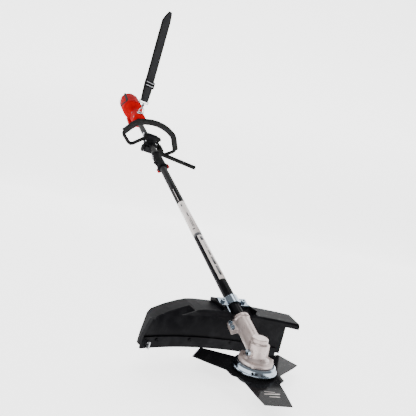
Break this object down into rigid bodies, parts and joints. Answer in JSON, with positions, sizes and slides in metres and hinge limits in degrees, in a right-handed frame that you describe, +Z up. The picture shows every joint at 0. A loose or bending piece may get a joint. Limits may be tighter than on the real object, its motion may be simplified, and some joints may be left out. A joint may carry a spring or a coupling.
{
  "type": "string trimmer",
  "caption": "Shaft-driven brush cutter: top motor with D handle, split straight shaft, loop handle with barrier bar, guard, bevel gear head, toothed steel blade and shoulder sling.",
  "frame": {"origin": "top of the doubled shoulder sling, the point that the machine hangs from", "axes": "+X along the ground line of the shaft, from the blade towards the motor; +Z up, parallel to the blade spindle; +Y towards the user's right"},
  "size_m": [1.7874, 0.4538, 1.202],
  "materials": {
    "blade_steel": "gloss",
    "zinc_plate": "satin",
    "bright_steel": "satin",
    "dark_steel": "satin",
    "polished_steel": "gloss",
    "cast_aluminium": "satin",
    "tube_enamel": "gloss",
    "rod_enamel": "satin",
    "black_plastic": "matte",
    "guard_plastic": "satin",
    "red_plastic": "gloss",
    "band_plastic": "satin",
    "badge_plastic": "gloss",
    "bush_plastic": "matte",
    "foam_grip": "matte",
    "seal_rubber": "matte",
    "gear_steel": "satin",
    "stator_steel": "matte",
    "copper_winding": "satin",
    "webbing": "matte"
  },
  "bodies": {
    "power_head": {"coupler_body": "black_plastic", "coupler_screws": "bright_steel", "upper_tube": "tube_enamel", "upper_shaft_bushes": "bush_plastic", "handle_clamp_upper": "black_plastic", "handle_clamp_lower": "black_plastic", "handle_screws": "bright_steel", "housing_left": "red_plastic", "housing_right": "red_plastic", "housing_screws": "dark_steel", "side_bands": "band_plastic", "badge_panel": "badge_plastic", "vent_grille": "black_plastic", "motor_stator": "stator_steel", "motor_bearings": "bright_steel", "carbon_brushes": "dark_steel", "trigger_switch": "black_plastic", "tube_collar": "seal_rubber", "power_inlet": "black_plastic", "snap_hook": "polished_steel"},
    "motor_rotor": {"motor_armature": "copper_winding", "cooling_fan": "black_plastic", "upper_drive_shaft": "dark_steel"},
    "trigger": {"trigger": "black_plastic"},
    "lock_off_button": {"lock_off_button": "black_plastic"},
    "loop_handle": {"loop_rod": "rod_enamel", "loop_grip": "foam_grip", "barrier_bar": "rod_enamel"},
    "handle_knob": {"handle_knob": "black_plastic"},
    "coupler_knob": {"coupler_knob": "red_plastic"},
    "coupler_latch": {"coupler_latch": "black_plastic"},
    "boom": {"lower_tube": "tube_enamel", "lower_shaft_bushes": "bush_plastic", "gear_case": "cast_aluminium", "dust_cover": "zinc_plate", "cover_screws": "bright_steel", "neck_clamp_screws": "zinc_plate", "grease_plug": "zinc_plate", "spindle_bearings": "bright_steel", "spindle_seal": "seal_rubber", "pinion_bearings": "bright_steel", "guard_bracket_upper": "zinc_plate", "guard_bracket_lower": "zinc_plate", "guard_bolts": "zinc_plate", "guard_shell": "guard_plastic", "guard_extension": "guard_plastic", "line_cutter": "bright_steel", "extension_screws": "bright_steel"},
    "lower_drive": {"lower_drive_shaft": "dark_steel", "pinion_gear": "gear_steel"},
    "blade_group": {"blade": "blade_steel", "blade_adapter": "dark_steel", "clamp_washer": "dark_steel", "stabiliser_cup": "bright_steel", "blade_nut": "dark_steel", "output_spindle": "bright_steel", "driven_bevel_gear": "gear_steel"},
    "hook_gate": {"hook_gate": "polished_steel"},
    "sling": {"sling_strap": "webbing"},
    "sling_buckle": {"sling_buckle": "black_plastic"}
  },
  "joints": [
    {"name": "blade_spin", "type": "hinge", "parent": "boom", "child": "blade_group", "pos_m": [-1.292, 0.03639, -1.16638], "axis": [0, 0, 1], "continuous": true},
    {"name": "pinion_spin", "type": "hinge", "parent": "boom", "child": "lower_drive", "pos_m": [-1.25527, 0.03639, -1.11056], "axis": [0.9184, 0, 0.3955], "continuous": true},
    {"name": "motor_spin", "type": "hinge", "parent": "power_head", "child": "motor_rotor", "pos_m": [0.17751, 0.03639, -0.49351], "axis": [0.9184, 0, 0.3955], "continuous": true},
    {"name": "boom_pull", "type": "slide", "parent": "power_head", "child": "boom", "axis": [-0.9184, 0, -0.3955], "range_m": [0, 0.07]},
    {"name": "trigger_squeeze", "type": "hinge", "parent": "power_head", "child": "trigger", "pos_m": [0.16101, 0.03639, -0.51586], "axis": [0, 1, 0], "range_deg": [0, 8], "stiffness_Nm_per_rad": 0.6, "springref_deg": -8.59},
    {"name": "lock_off_press", "type": "slide", "parent": "power_head", "child": "lock_off_button", "axis": [0.3955, 0, -0.9184], "range_m": [0, 0.0015], "stiffness_N_per_m": 300, "springref_m": -0.002},
    {"name": "loop_tilt", "type": "hinge", "parent": "power_head", "child": "loop_handle", "pos_m": [-0.24603, 0.0339, -0.64774], "axis": [-0.0379, 0.9954, 0.088], "range_deg": [-20, 20]},
    {"name": "handle_knob_turn", "type": "hinge", "parent": "power_head", "child": "handle_knob", "pos_m": [-0.24615, 0.03878, -0.70306], "axis": [-0.0379, 0.9954, 0.088], "continuous": true},
    {"name": "coupler_knob_turn", "type": "hinge", "parent": "power_head", "child": "coupler_knob", "pos_m": [-0.43326, 0.03639, -0.75655], "axis": [0.2893, -0.682, -0.6717], "continuous": true},
    {"name": "latch_pull", "type": "slide", "parent": "power_head", "child": "coupler_latch", "axis": [0, 1, 0], "range_m": [0, 0.004], "stiffness_N_per_m": 400, "springref_m": -0.002},
    {"name": "gate_open", "type": "hinge", "parent": "power_head", "child": "hook_gate", "pos_m": [0.01212, 0.02485, -0.5093], "axis": [-0.8988, 0.4384, 0], "range_deg": [0, 25], "stiffness_Nm_per_rad": 0.02, "springref_deg": -17.19},
    {"name": "sling_turn", "type": "hinge", "parent": "power_head", "child": "sling", "pos_m": [0.01637, 0.03357, -0.47453], "axis": [-0.0344, -0.0705, 0.9969], "continuous": true},
    {"name": "buckle_slide", "type": "slide", "parent": "sling", "child": "sling_buckle", "axis": [-0.0344, -0.0705, 0.9969], "range_m": [-0.03, 0.2]}
  ],
  "couplings": [
    {"joint": "pinion_spin", "follows": "blade_spin", "ratio": -1.3571},
    {"joint": "motor_spin", "follows": "blade_spin", "ratio": -1.3571}
  ]
}
